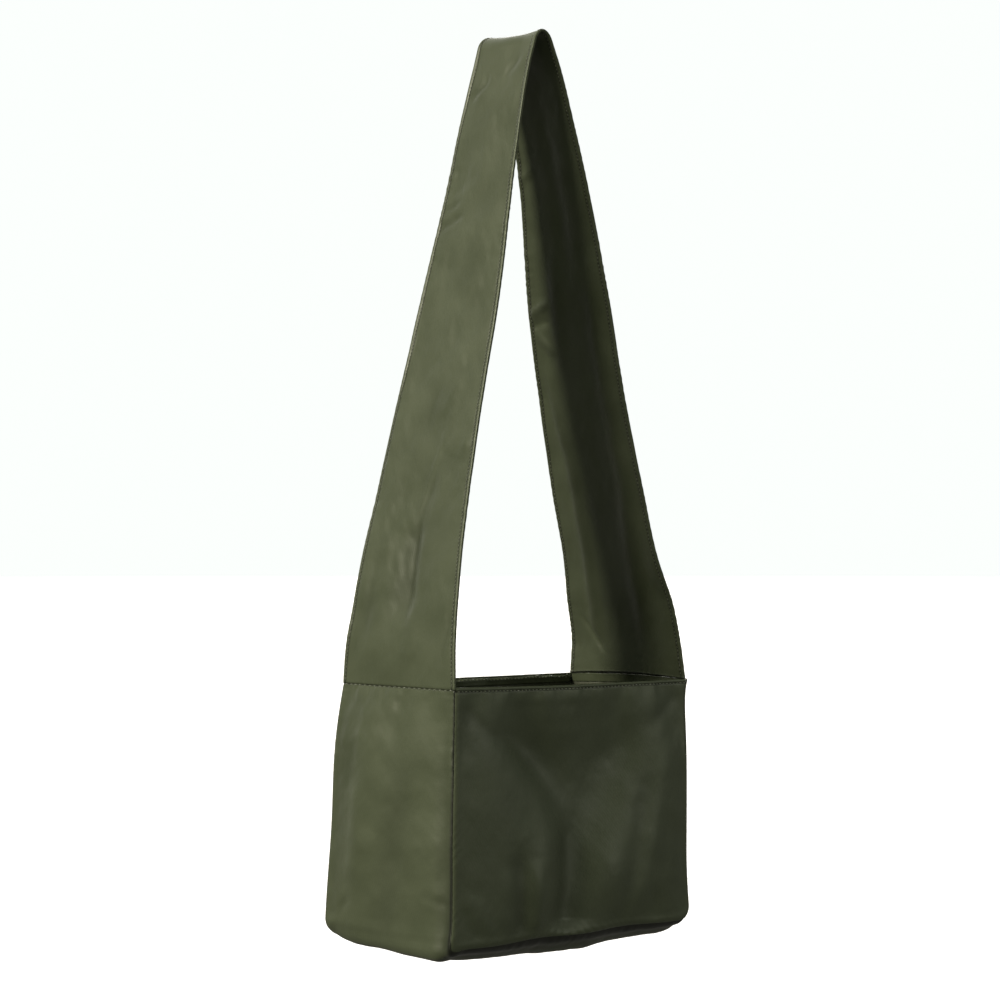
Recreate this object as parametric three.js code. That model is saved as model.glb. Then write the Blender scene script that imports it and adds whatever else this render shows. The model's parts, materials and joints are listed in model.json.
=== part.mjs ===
// A soft box-shaped crossbody purse, hanging by its wide tapered strap.
// Millimetres, +Z up, X across the front, the front panel faces -Y.
// The origin is the hang point: the underside of the strap at its crown.

import * as THREE from "three";

// ---- driving dimensions ----------------------------------------------------

const mouthWidth = 240;
const mouthDepth = 134;
const bagHeight = 196;
const bottomWidthFlare = 1.03;
const bottomDepthFlare = 1.10;
const bottomLean = 6.5;
const cornerRadius = 12;

const strapDrop = 505;
const strapCrownWidth = 64;
const strapWaistNarrowing = 4;
const crownRadius = 11;
const crownHalfTurn = THREE.MathUtils.degToRad(72);

const shellThickness = 1.2;
const liningThickness = 0.6;
const facingThickness = 0.8;
const facingWidth = 7;
const strapLayerThickness = 0.9;
const gap = 0.3;

const threadWidth = 0.7;
const threadThickness = 0.4;
const rimStitchInset = 3;
const seamStitchInset = 1.5;
const strapStitchInset = 3;
const endInset = 2;

const pocketWidth = 112;
const pocketHeight = 98;
const pocketTop = 42;
const pocketThickness = 0.7;
const pocketStitchInset = 3;

const snapDepth = 26;
const snapRadius = 8;
const snapSocketThickness = 3;
const snapStudThickness = 2.4;
const snapDimpleRadius = 3.2;
const snapDimpleDepth = 1.4;

const cornerSegments = 8;

// The strap's inner face on each side, from the seam up towards the crown:
// [distance from the bag's middle plane, height above the mouth].
// Each half bows out near the seam and hangs nearly straight above it.
const leftStrapLine = [[118, 0], [112, 60], [94, 145], [77, 221], [57, 298], [38, 380], [25, 440]];
const rightStrapLine = [[118, 0], [109, 60], [87, 145], [69, 221], [54, 298], [40, 380], [26, 440]];
const stationsPerHalf = 20;
const crownStations = 10;

// ---- materials ---------------------------------------------------------------

const satin = () => new THREE.MeshStandardMaterial({ color: 0x4e5341, roughness: 0.45, metalness: 0 });
const innerSatin = () => new THREE.MeshStandardMaterial({ color: 0x3d4131, roughness: 0.4, metalness: 0 });
const lining = () => new THREE.MeshStandardMaterial({ color: 0x33372a, roughness: 0.6, metalness: 0 });
const thread = () => new THREE.MeshStandardMaterial({ color: 0x454a38, roughness: 0.6, metalness: 0 });
const metal = () => new THREE.MeshStandardMaterial({ color: 0x9a9a92, roughness: 0.3, metalness: 1 });

// ---- shared helpers ----------------------------------------------------------

const purse = new THREE.Group();
const bag = new THREE.Group();
const strap = new THREE.Group();
bag.position.z = -strapDrop;
strap.position.z = -strapDrop;
purse.add(bag, strap);

function addMesh(group, name, geometry, material) {
  const mesh = new THREE.Mesh(geometry, material);
  mesh.name = name;
  group.add(mesh);
  return mesh;
}

// Widens a straight-sided piece evenly from the mouth down to the base, and
// swings it back by bottomLean at the base, as the hanging bag settles.
function flare(geometry) {
  const position = geometry.attributes.position;
  for (let i = 0; i < position.count; i += 1) {
    const down = -position.getZ(i) / bagHeight;
    position.setX(i, position.getX(i) * (1 + (bottomWidthFlare - 1) * down));
    position.setY(i, position.getY(i) * (1 + (bottomDepthFlare - 1) * down) + bottomLean * down);
  }
  geometry.computeVertexNormals();
  return geometry;
}

// Extrudes an outline drawn in X and Z so that it fills y = from .. to.
function extrudeAlongY(shape, from, to) {
  const geometry = new THREE.ExtrudeGeometry(shape, { depth: to - from, bevelEnabled: false });
  geometry.rotateX(Math.PI / 2);
  geometry.translate(0, to, 0);
  return geometry;
}

function boxBetween(low, high) {
  const geometry = new THREE.BoxGeometry(high[0] - low[0], high[1] - low[1], high[2] - low[2]);
  geometry.translate((low[0] + high[0]) / 2, (low[1] + high[1]) / 2, (low[2] + high[2]) / 2);
  return geometry;
}

// The U outline of the bag's front, moved inwards by inset, from the top left
// corner down, along the base and up to the top right corner.
function bagOutline(inset, top) {
  const side = mouthWidth / 2 - inset;
  const base = -bagHeight + inset;
  const radius = cornerRadius - inset;
  const points = [new THREE.Vector2(-side, top)];
  for (let i = 0; i <= cornerSegments; i += 1) {
    const angle = Math.PI + (Math.PI / 2) * (i / cornerSegments);
    points.push(new THREE.Vector2(
      -side + radius + radius * Math.cos(angle), base + radius + radius * Math.sin(angle)));
  }
  for (let i = 0; i <= cornerSegments; i += 1) {
    const angle = -Math.PI / 2 + (Math.PI / 2) * (i / cornerSegments);
    points.push(new THREE.Vector2(
      side - radius + radius * Math.cos(angle), base + radius + radius * Math.sin(angle)));
  }
  points.push(new THREE.Vector2(side, top));
  return points;
}

// ---- outer shell -------------------------------------------------------------

const frontFace = -mouthDepth / 2;
const insideShell = shellThickness + gap;

function makePanels() {
  const outline = new THREE.Shape(bagOutline(0, 0));
  const front = flare(extrudeAlongY(outline, frontFace, frontFace + shellThickness));
  const back = flare(extrudeAlongY(outline, -frontFace - shellThickness, -frontFace));
  addMesh(bag, "front_panel", front, satin());
  addMesh(bag, "back_panel", back, satin());
}

function makeUStrip(outerInset, thickness, top, halfDepth) {
  const outer = bagOutline(outerInset, top);
  const inner = bagOutline(outerInset + thickness, top).reverse();
  const shape = new THREE.Shape([...outer, ...inner]);
  return flare(extrudeAlongY(shape, -halfDepth, halfDepth));
}

function makeGusset() {
  const halfDepth = mouthDepth / 2 - insideShell;
  addMesh(bag, "gusset", makeUStrip(0, shellThickness, 0, halfDepth), satin());
}

// ---- lining and facings ------------------------------------------------------

const liningTop = -facingWidth - gap;

function makeLining() {
  const outline = new THREE.Shape(bagOutline(insideShell, liningTop));
  const from = frontFace + insideShell;
  const front = flare(extrudeAlongY(outline, from, from + liningThickness));
  const back = flare(extrudeAlongY(outline, -from - liningThickness, -from));
  const halfDepth = -from - liningThickness - gap;
  const gusset = makeUStrip(insideShell, liningThickness, liningTop, halfDepth);
  addMesh(bag, "front_lining", front, lining());
  addMesh(bag, "back_lining", back, lining());
  addMesh(bag, "gusset_lining", gusset, lining());
}

function makeFacings() {
  const side = mouthWidth / 2 - insideShell;
  const face = mouthDepth / 2 - insideShell;
  const end = face - facingThickness - gap;
  const bottom = -facingWidth;
  const top = -gap;
  const boxes = {
    front_facing: boxBetween([-side, -face, bottom], [side, -face + facingThickness, top]),
    back_facing: boxBetween([-side, face - facingThickness, bottom], [side, face, top]),
    left_facing: boxBetween([-side, -end, bottom], [-side + facingThickness, end, top]),
    right_facing: boxBetween([side - facingThickness, -end, bottom], [side, end, top]),
  };
  for (const [name, box] of Object.entries(boxes)) {
    addMesh(bag, name, flare(box), innerSatin());
  }
}

// ---- stitching on the bag ----------------------------------------------------

function makeRimStitching() {
  const side = mouthWidth / 2 - endInset;
  const near = mouthDepth / 2 + gap;
  const low = -rimStitchInset - threadWidth;
  const front = boxBetween([-side, -near - threadThickness, low], [side, -near, low + threadWidth]);
  const back = boxBetween([-side, near, low], [side, near + threadThickness, low + threadWidth]);
  addMesh(bag, "front_rim_stitching", flare(front), thread());
  addMesh(bag, "back_rim_stitching", flare(back), thread());
}

function makeStrapSeamStitching() {
  const half = mouthDepth / 2 - endInset - shellThickness;
  const near = mouthWidth / 2 + gap;
  const low = -seamStitchInset - threadWidth;
  const left = boxBetween([-near - threadThickness, -half, low], [-near, half, low + threadWidth]);
  const right = boxBetween([near, -half, low], [near + threadThickness, half, low + threadWidth]);
  addMesh(bag, "left_strap_seam_stitching", flare(left), thread());
  addMesh(bag, "right_strap_seam_stitching", flare(right), thread());
}

// ---- slip pocket on the back lining --------------------------------------------

const pocketBack = mouthDepth / 2 - insideShell - liningThickness - gap;

function makePocket() {
  const half = pocketWidth / 2;
  const bottom = -pocketTop - pocketHeight;
  const panel = boxBetween([-half, pocketBack - pocketThickness, bottom], [half, pocketBack, -pocketTop]);
  addMesh(bag, "inner_pocket", flare(panel), lining());

  const side = half - pocketStitchInset;
  const low = bottom + pocketStitchInset;
  const high = -pocketTop - pocketStitchInset;
  const row = new THREE.Shape();
  row.moveTo(-side, high);
  row.lineTo(-side, low);
  row.lineTo(side, low);
  row.lineTo(side, high);
  row.lineTo(side - threadWidth, high);
  row.lineTo(side - threadWidth, low + threadWidth);
  row.lineTo(-side + threadWidth, low + threadWidth);
  row.lineTo(-side + threadWidth, high);
  row.closePath();
  const near = pocketBack - pocketThickness - gap;
  const stitching = extrudeAlongY(row, near - threadThickness, near);
  addMesh(bag, "pocket_stitching", flare(stitching), thread());
}

// ---- magnetic snap, one half on each lining ------------------------------------

// Turns a profile of [radius, height] round an axis along Y, standing on the
// lining at the front (side -1) or the back (side 1) with its height pointing
// into the bag. The lining slopes, so the back of the piece clears its nearest point.
function turnedOnWall(profile, side) {
  const points = profile.map(([radius, height]) => new THREE.Vector2(radius, height));
  const geometry = new THREE.LatheGeometry(points, 32);
  if (side > 0) {
    geometry.rotateX(Math.PI);
  }
  const liningFace = mouthDepth / 2 - insideShell - liningThickness;
  const slope = liningFace * (bottomDepthFlare - 1) + side * bottomLean;
  const topShare = (snapDepth - snapRadius) / bagHeight;
  geometry.translate(0, side * (liningFace + slope * topShare - gap), -snapDepth);
  return geometry;
}

function makeSnap() {
  const rim = 1;
  const socket = [
    [0, 0], [snapRadius, 0], [snapRadius, snapSocketThickness - rim],
    [snapRadius - rim, snapSocketThickness], [snapDimpleRadius, snapSocketThickness],
    [snapDimpleRadius, snapSocketThickness - snapDimpleDepth], [0, snapSocketThickness - snapDimpleDepth],
  ];
  const studRadius = snapDimpleRadius - gap;
  const studTop = snapStudThickness + snapDimpleDepth - gap;
  const stud = [
    [0, 0], [snapRadius, 0], [snapRadius, snapStudThickness - rim],
    [snapRadius - rim, snapStudThickness], [studRadius, snapStudThickness],
    [studRadius, studTop], [0, studTop],
  ];
  addMesh(bag, "snap_stud", turnedOnWall(stud, -1), metal());
  addMesh(bag, "snap_socket", turnedOnWall(socket, 1), metal());
}

// ---- strap ---------------------------------------------------------------------

// The strap's inner face in X and Z: left seam, over the crown, right seam.
function strapLine() {
  const onCrown = (angle) => new THREE.Vector3(
    crownRadius * Math.sin(angle), 0, strapDrop - crownRadius + crownRadius * Math.cos(angle));
  const side = (line, sign) => {
    const points = line.map(([out, up]) => new THREE.Vector3(sign * out, 0, up));
    points.push(onCrown(sign * crownHalfTurn));
    return new THREE.CatmullRomCurve3(points, false, "centripetal").getSpacedPoints(stationsPerHalf);
  };
  const crown = [];
  for (let i = 1; i < crownStations; i += 1) {
    crown.push(onCrown(crownHalfTurn * (2 * (i / crownStations) - 1)));
  }
  return [...side(leftStrapLine, -1), ...crown, ...side(rightStrapLine, 1).reverse()];
}

// Half the strap's width at a height above the mouth: full depth at the seams,
// narrow at the crown, with edges that curve slightly inwards between.
function strapHalfWidth(up) {
  const share = THREE.MathUtils.clamp(up / strapDrop, 0, 1);
  const straight = THREE.MathUtils.lerp(mouthDepth, strapCrownWidth, share);
  return (straight - strapWaistNarrowing * Math.sin(Math.PI * share)) / 2;
}

// A closed strip that follows the strap. across(halfWidth) gives its two edges
// in Y, and below and above are its faces, measured outwards from the strap's inner face.
function strapStrip(across, below, above) {
  const line = strapLine();
  const corners = [];
  line.forEach((point, i) => {
    const before = line[Math.max(i - 1, 0)];
    const after = line[Math.min(i + 1, line.length - 1)];
    const tangent = new THREE.Vector3().subVectors(after, before).normalize();
    const outward = new THREE.Vector3(-tangent.z, 0, tangent.x);
    const [near, far] = across(strapHalfWidth(point.z));
    for (const [y, offset] of [[near, below], [far, below], [far, above], [near, above]]) {
      const corner = point.clone().addScaledVector(outward, offset);
      corner.z = Math.max(corner.z, gap);
      corners.push(corner.x, y, corner.z);
    }
  });
  const faces = [];
  const quad = (a, b, c, d) => faces.push(a, b, c, a, c, d);
  for (let i = 0; i < line.length - 1; i += 1) {
    for (let k = 0; k < 4; k += 1) {
      const next = (k + 1) % 4;
      quad(4 * i + k, 4 * i + next, 4 * i + 4 + next, 4 * i + 4 + k);
    }
  }
  const last = 4 * (line.length - 1);
  quad(3, 2, 1, 0);
  quad(last, last + 1, last + 2, last + 3);
  const geometry = new THREE.BufferGeometry();
  geometry.setAttribute("position", new THREE.Float32BufferAttribute(corners, 3));
  geometry.setIndex(faces);
  geometry.computeVertexNormals();
  return geometry;
}

function makeStrap() {
  const wholeWidth = (half) => [-half, half];
  const innerTop = strapLayerThickness;
  const outerBottom = innerTop + gap;
  const outerTop = outerBottom + strapLayerThickness;
  addMesh(strap, "strap_inner", strapStrip(wholeWidth, 0, innerTop), innerSatin());
  addMesh(strap, "strap_outer", strapStrip(wholeWidth, outerBottom, outerTop), satin());

  const frontRow = (half) => [-half + strapStitchInset, -half + strapStitchInset + threadWidth];
  const backRow = (half) => [half - strapStitchInset - threadWidth, half - strapStitchInset];
  const threadBottom = outerTop + gap;
  const threadTop = threadBottom + threadThickness;
  addMesh(strap, "strap_front_edge_stitching", strapStrip(frontRow, threadBottom, threadTop), thread());
  addMesh(strap, "strap_back_edge_stitching", strapStrip(backRow, threadBottom, threadTop), thread());
}

makePanels();
makeGusset();
makeLining();
makeFacings();
makeRimStitching();
makeStrapSeamStitching();
makePocket();
makeSnap();
makeStrap();

export default purse;
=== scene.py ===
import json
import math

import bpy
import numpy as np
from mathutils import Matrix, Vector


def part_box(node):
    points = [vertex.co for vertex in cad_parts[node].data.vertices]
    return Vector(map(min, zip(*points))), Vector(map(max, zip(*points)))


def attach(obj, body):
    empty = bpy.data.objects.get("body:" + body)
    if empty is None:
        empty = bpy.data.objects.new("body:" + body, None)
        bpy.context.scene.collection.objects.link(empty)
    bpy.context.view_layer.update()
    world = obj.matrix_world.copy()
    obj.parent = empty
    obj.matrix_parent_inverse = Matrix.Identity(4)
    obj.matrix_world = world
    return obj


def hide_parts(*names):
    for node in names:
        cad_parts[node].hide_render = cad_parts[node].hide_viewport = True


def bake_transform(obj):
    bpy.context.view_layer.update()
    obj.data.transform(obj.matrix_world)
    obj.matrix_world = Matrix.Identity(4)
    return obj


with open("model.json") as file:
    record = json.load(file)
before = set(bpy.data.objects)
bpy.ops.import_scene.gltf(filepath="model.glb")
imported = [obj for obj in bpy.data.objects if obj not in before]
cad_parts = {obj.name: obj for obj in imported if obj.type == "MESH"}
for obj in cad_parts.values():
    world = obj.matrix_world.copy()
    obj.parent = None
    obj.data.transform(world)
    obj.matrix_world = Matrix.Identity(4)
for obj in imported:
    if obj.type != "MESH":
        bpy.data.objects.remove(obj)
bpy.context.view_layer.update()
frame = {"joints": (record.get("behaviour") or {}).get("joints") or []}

# A soft satin crossbody purse, hanging by its wide tapered strap.
# Metres, +Z up, the front panel faces -Y, the origin is under the strap's crown.
# Every cloth piece is built as a grid of points: rows run down or along the piece,
# columns run across it, and row x column points out of the purse.

MM = 0.001
SCENE = bpy.context.scene

# ---- sizes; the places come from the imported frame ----

panel_low, panel_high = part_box("front_panel")
MOUTH_Z = frame["joints"][0]["pos_m"][2]
BASE_Z = panel_low.z
BAG_HEIGHT = MOUTH_Z - BASE_Z
PANEL_DROP = BAG_HEIGHT - 7 * MM
MOUTH_HALF_WIDTH = 120 * MM
MOUTH_HALF_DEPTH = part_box("strap_inner")[1].y
WIDTH_FLARE = panel_high.x / MOUTH_HALF_WIDTH
FRONT_BASE_Y = panel_low.y
BACK_BASE_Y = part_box("back_panel")[1].y
CORNER_RADIUS = 12 * MM
STRAIGHT_DROP = PANEL_DROP - CORNER_RADIUS

SHELL = 1.1 * MM
LINING = 0.5 * MM
FACING = 0.8 * MM
FACING_WIDTH = -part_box("front_facing")[0].z + MOUTH_Z
CLEAR = 0.3 * MM

STRAP_DROP = -MOUTH_Z
CROWN_HALF_WIDTH = 32 * MM
CROWN_RADIUS = 11 * MM
CROWN_HALF_TURN = math.radians(72)
CROWN_PINCH = 0.35
CROWN_SADDLE = 2.2 * MM
STRAP_LAYER = 0.8 * MM
# The strap's inner face on each side, mm: (height above the mouth, distance from the
# bag's middle at the strap's front edge, and at its back edge).
LEFT_STRAP = [(0, 118, 118), (30, 116, 117), (60, 112, 112), (100, 105, 105), (145, 95, 94),
              (221, 76, 77), (298, 55, 59), (380, 38, 38), (440, 25, 25)]
RIGHT_STRAP = [(0, 118, 118), (30, 115, 117), (60, 109, 110), (100, 94, 102), (145, 84, 88),
               (221, 69, 68), (298, 57, 51), (380, 41, 39), (440, 26, 26)]

# Stitches of each kind, mm: from one to the next, length and radius of the thread.
FINE_STITCH = (3.0, 1.9, 0.32)
RIM_TOPSTITCH = (3.7, 2.2, 0.42)
STRAP_SEAM_STITCH = (5.8, 2.6, 0.45)
STITCH_PITCH = RIM_TOPSTITCH[0] * MM
# How far the rows of stitches lie from the rim, the strap's edges and the strap's seams.
RIM_STITCH = 2.8 * MM
STRAP_STITCH = 3.3 * MM
SEAM_STITCH = 0.5 * MM


# ---- grids of points ----

def along_rows(values, at):
    """Values at fractional rows, on a smooth curve through the rows."""
    last = len(values) - 1
    low = np.clip(np.floor(at).astype(int), 0, last - 1)
    t = (at - low).reshape((-1,) + (1,) * (values.ndim - 1))
    p1, p2 = values[low], values[low + 1]
    p0 = np.where((low > 0).reshape(t.shape), values[np.maximum(low - 1, 0)], 2 * p1 - p2)
    p3 = np.where((low < last - 1).reshape(t.shape), values[np.minimum(low + 2, last)], 2 * p2 - p1)
    return p1 + t / 2 * (p2 - p0 + t * (2 * p0 - 5 * p1 + 4 * p2 - p3 + t * (3 * (p1 - p2) + p3 - p0)))


def resample(grid, rows, columns):
    """The grid at fractional rows and columns."""
    down = along_rows(grid, rows)
    return along_rows(down.swapaxes(0, 1), columns).swapaxes(0, 1)


def pick(grid, rows, columns):
    """The grid's points at pairs of a fractional row and column."""
    low = np.clip(np.floor(rows).astype(int), 0, grid.shape[0] - 2)
    left = np.clip(np.floor(columns).astype(int), 0, grid.shape[1] - 2)
    s, t = (rows - low)[..., None], (columns - left)[..., None]
    near = grid[low, left] * (1 - t) + grid[low, left + 1] * t
    far = grid[low + 1, left] * (1 - t) + grid[low + 1, left + 1] * t
    return near * (1 - s) + far * s


def over_grid(rows, columns):
    """The rows' values and the columns' values, each over the whole grid."""
    return np.meshgrid(rows, columns, indexing="ij")


def on_cloth(across, down):
    """Places on the flat cloth, as cloth pieces and their materials use them."""
    return np.stack([across, down, np.zeros_like(across)], -1)


def distance_along(line):
    """How far each point of a line is from its start."""
    steps = np.linalg.norm(np.diff(line, axis=0), axis=1)
    return np.concatenate([[0], np.cumsum(steps)])


def at_distance(at, length, values):
    """A line's values at distances along it, where length holds its points' distances."""
    return np.stack([np.interp(at, length, column) for column in values.T], -1)


def unit(vectors):
    return vectors / np.maximum(np.linalg.norm(vectors, axis=-1, keepdims=True), 1e-12)


def normals(grid):
    return unit(np.cross(np.gradient(grid, axis=0), np.gradient(grid, axis=1)))


def spaced(length, fine, coarse, reach, both=True):
    """Distances from 0 to length: fine steps within reach of the start, and of the end
    if both is true, growing to coarse steps between."""
    at, step = [0.0], fine
    while at[-1] < length:
        if at[-1] > reach:
            step = min(step * 1.25, coarse)
        at.append(at[-1] + step)
    at = np.array(at)
    if not both:
        return at * length / at[-1]
    half = at[at <= length / 2]
    half = half * (length / 2) / half[-1]
    return np.concatenate([half, length - half[-2::-1]])


def ripples(a, b, wavelength, seed, count=14):
    """Smooth random waves over two coordinates, about -1 to 1."""
    random = np.random.default_rng(seed)
    total = np.zeros(np.broadcast(a, b).shape)
    for _ in range(count):
        turn = random.uniform(0, math.pi)
        size = 2 * math.pi / (wavelength * random.uniform(0.7, 1.5))
        phase = random.uniform(0, 2 * math.pi)
        total = total + np.sin(size * (a * math.cos(turn) + b * math.sin(turn)) + phase)
    return total / math.sqrt(count)


def crumples(a, b, seed, strength=1.0):
    """Shallow dents, palm-sized to fingertip-sized. The small ones are deeper in patches."""
    patches = np.clip(0.6 + 0.5 * ripples(a, b, 70 * MM, seed + 1), 0.1, 1.4)
    middling = 0.35 * MM * ripples(a, b, 46 * MM, seed + 4) + 0.20 * MM * ripples(a, b, 26 * MM, seed)
    small = 0.11 * MM * ripples(a, b, 13 * MM, seed + 2, 20) * patches
    fine = 0.03 * MM * ripples(a, b, 7 * MM, seed + 3, 20) * patches
    return strength * (middling + small + fine)


def bump(x, centre, width):
    """1 at the centre and next to nothing two widths away."""
    return np.exp(-(((x - centre) / width) ** 2))


def fading(x, reach, power=1):
    """1 at x = 0, fading to nothing over a few times the reach."""
    return np.exp(-((x / reach) ** power))


def crease(a, b, start, end, width, depth):
    """A soft fold along the line from start to end, over coordinates a and b."""
    start, end = np.array(start), np.array(end)
    run = end - start
    share = ((a - start[0]) * run[0] + (b - start[1]) * run[1]) / (run @ run)
    off = ((a - start[0]) * run[1] - (b - start[1]) * run[0]) / np.linalg.norm(run)
    fade = np.clip(1.5 - np.abs(share - 0.5) * 2, 0, 1)
    fade = fade * fade * (3 - 2 * fade)
    return depth * fade * fading(off, width, 2)


# ---- meshes ----

def quads_of(index):
    """The four-sided faces between a grid of point numbers."""
    corners = [index[:-1, :-1], index[1:, :-1], index[1:, 1:], index[:-1, 1:]]
    return np.stack(corners, -1).reshape(-1, 4)


def add_object(name, data):
    made = bpy.data.objects.new(name, data)
    SCENE.collection.objects.link(made)
    return made


def new_mesh(name, points, faces, flat=None, painted_shade=None, material=None):
    """A smooth-shaded object from arrays. flat holds each point's place on the cut cloth;
    the last array holds how much shade is painted into each point's colour, in a seam, a stitch groove
    or a fold, 0 to 1."""
    mesh = bpy.data.meshes.new(name)
    mesh.from_pydata(points.tolist(), [], [list(face) for face in faces])
    mesh.update()
    mesh.shade_smooth()
    if flat is not None:
        for key, kind, field, values in (("flat", "FLOAT_VECTOR", "vector", flat),
                                         ("painted_shade", "FLOAT", "value", painted_shade)):
            attribute = mesh.attributes.new(key, kind, "POINT")
            attribute.data.foreach_set(field, values.astype(np.float32).ravel())
    if material is not None:
        mesh.materials.append(material)
    return add_object(name, mesh)


def border(index):
    """The grid's outline, once round."""
    return np.concatenate([index[:-1, 0], index[-1, :-1], index[:0:-1, -1], index[0, :0:-1]])


def cloth(name, outer, thickness, flat, painted_shade, material):
    """A closed sheet of cloth: its outer face, its inner face and a rounded edge."""
    out = normals(outer)
    inner = outer - out * thickness
    count = outer.shape[0] * outer.shape[1]
    index = np.arange(count).reshape(outer.shape[:2])
    loop = border(index)
    middle = (outer + inner) / 2
    centre = np.zeros_like(outer)
    centre[1:-1, 1:-1] = middle[1:-1, 1:-1]
    centre[0], centre[-1] = middle[1], middle[-2]
    centre[:, 0], centre[:, -1] = middle[:, 1], middle[:, -2]
    middle = middle.reshape(-1, 3)[loop]
    edge = middle + unit(middle - centre.reshape(-1, 3)[loop]) * thickness * 0.2
    points = np.concatenate([outer.reshape(-1, 3), inner.reshape(-1, 3), edge])
    flat = flat.reshape(-1, 3)
    flats = np.concatenate([flat, flat, flat[loop]])
    painted_shade = np.clip(painted_shade, 0, 1).ravel()
    painted_shades = np.concatenate([painted_shade, painted_shade, painted_shade[loop]])
    ring = 2 * count + np.arange(len(loop))
    after = np.roll(np.arange(len(loop)), -1)
    top = np.stack([loop[after], loop, ring, ring[after]], -1)
    low = np.stack([ring[after], ring, loop + count, loop[after] + count], -1)
    faces = np.concatenate([quads_of(index), quads_of(index)[:, ::-1] + count, top, low])
    return new_mesh(name, points, faces, flats, painted_shades, material)


# ---- materials ----

def assign(thing, **values):
    for name, value in values.items():
        setattr(thing, name, value)


def connect(made, inputs):
    """Sets a node's inputs: each is a value, or another node's output to link."""
    for name, value in inputs.items():
        if isinstance(value, bpy.types.NodeSocket):
            made.id_data.links.new(value, made.inputs[name])
        else:
            made.inputs[name].default_value = value


def node(tree, kind, inputs=None, output=0, **settings):
    """Adds a shader node and gives back one of its outputs."""
    made = tree.nodes.new("ShaderNode" + kind)
    assign(made, **settings)
    connect(made, inputs or {})
    return made.outputs[output]


def shades(tree, amount, dark, light, start=0.0, end=1.0):
    """A colour from dark to light, as the amount goes from start to end."""
    ramp = tree.nodes.new("ShaderNodeValToRGB")
    connect(ramp, {"Fac": amount})
    for stop, position, colour in zip(ramp.color_ramp.elements, (start, end), (dark, light)):
        stop.position = position
        stop.color = (*colour, 1)
    return ramp.outputs["Color"]


def new_material(name):
    material = bpy.data.materials.new(name)
    material.use_nodes = True
    shader = material.node_tree.nodes["Principled BSDF"]
    return material, material.node_tree, shader


def woven(name, dark, light, roughness, sheen, weave_pitch, weave_depth, crumple_depth):
    """Woven cloth: uneven colour, a fine diagonal weave, small crumples and painted shade in seams,
    stitch grooves and folds.
    """
    material, tree, shader = new_material(name)
    place = node(tree, "Attribute", output="Vector", attribute_name="flat")
    shade = node(tree, "TexNoise", {"Vector": place, "Scale": 26.0, "Detail": 4.0})
    thread = node(tree, "TexNoise", {"Vector": place, "Scale": 1400.0, "Detail": 2.0})
    coarse = node(tree, "Math", {0: shade, 1: 0.75}, operation="MULTIPLY")
    fine = node(tree, "Math", {0: thread, 1: 0.25}, operation="MULTIPLY")
    blend = node(tree, "Math", {0: coarse, 1: fine})
    colour = shades(tree, blend, dark, light, 0.3, 0.7)
    # Painted shade: where a point's shade attribute is high, the colour goes over to a very dark satin,
    # standing in for the shade in seams, stitch grooves and folds.
    painted_shade = node(tree, "Attribute", output="Fac", attribute_name="painted_shade")
    # A Mix node's colours are its inputs 6 and 7 and its output 2.
    painted_shade_colour = (*[0.12 * x for x in dark], 1)
    shadow = node(tree, "Mix", {0: painted_shade, 6: colour, 7: painted_shade_colour}, 2, data_type="RGBA")
    gloss = node(tree, "MapRange", {
        "Value": shade, "From Min": 0.3, "From Max": 0.7,
        "To Min": roughness - 0.05, "To Max": roughness + 0.06})
    slant = node(tree, "Mapping", {"Vector": place, "Rotation": (0, 0, math.radians(27))})
    weave = node(tree, "TexWave", {
        "Vector": slant, "Scale": 1 / (weave_pitch * 20), "Distortion": 0.6,
        "Detail": 1.0, "Detail Scale": 2.0}, output="Fac")
    crumple = node(tree, "TexNoise", {"Vector": place, "Scale": 75.0, "Detail": 3.0, "Roughness": 0.55})
    large = node(tree, "Bump", {"Height": crumple, "Distance": crumple_depth, "Strength": 1.0})
    small = node(tree, "Bump", {
        "Height": weave, "Distance": weave_depth, "Strength": 1.0, "Normal": large})
    connect(shader, {
        "Base Color": shadow, "Roughness": gloss, "Normal": small,
        "Sheen Weight": sheen, "Sheen Roughness": 0.45,
        "Sheen Tint": (*[min(1, 3 * x + 0.3) for x in light], 1),
        "Specular IOR Level": 0.42, "Specular Tint": (0.90, 0.95, 0.78, 1)})
    return material


def thread():
    """Twisted sewing thread, a little lighter than the satin."""
    material, tree, shader = new_material("thread")
    place = node(tree, "TexCoord", output="Object")
    fuzz = node(tree, "TexNoise", {"Vector": place, "Scale": 2500.0, "Detail": 2.0})
    colour = shades(tree, fuzz, (0.062, 0.073, 0.036), (0.115, 0.130, 0.072))
    twist = node(tree, "Bump", {"Height": fuzz, "Distance": 0.05 * MM, "Strength": 1.0})
    connect(shader, {"Base Color": colour, "Normal": twist, "Roughness": 0.5, "Sheen Weight": 0.3})
    return material


def dark_nickel():
    """Plated snap metal, unevenly worn."""
    material, tree, shader = new_material("dark_nickel")
    place = node(tree, "TexCoord", output="Object")
    wear = node(tree, "TexNoise", {"Vector": place, "Scale": 600.0, "Detail": 5.0})
    colour = shades(tree, wear, (0.26, 0.24, 0.20), (0.42, 0.40, 0.35))
    rough = node(tree, "MapRange", {"Value": wear, "To Min": 0.22, "To Max": 0.42})
    connect(shader, {"Base Color": colour, "Roughness": rough, "Metallic": 1.0})
    return material


# ---- the bag's shell ----

STRAIGHT_ROWS = 36
CORNER_ROWS = 7
COLUMNS = 54
GUSSET_COLUMNS = 30


def depth_share(z):
    """0 at the mouth, 1 at the base."""
    return (MOUTH_Z - z) / BAG_HEIGHT


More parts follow.
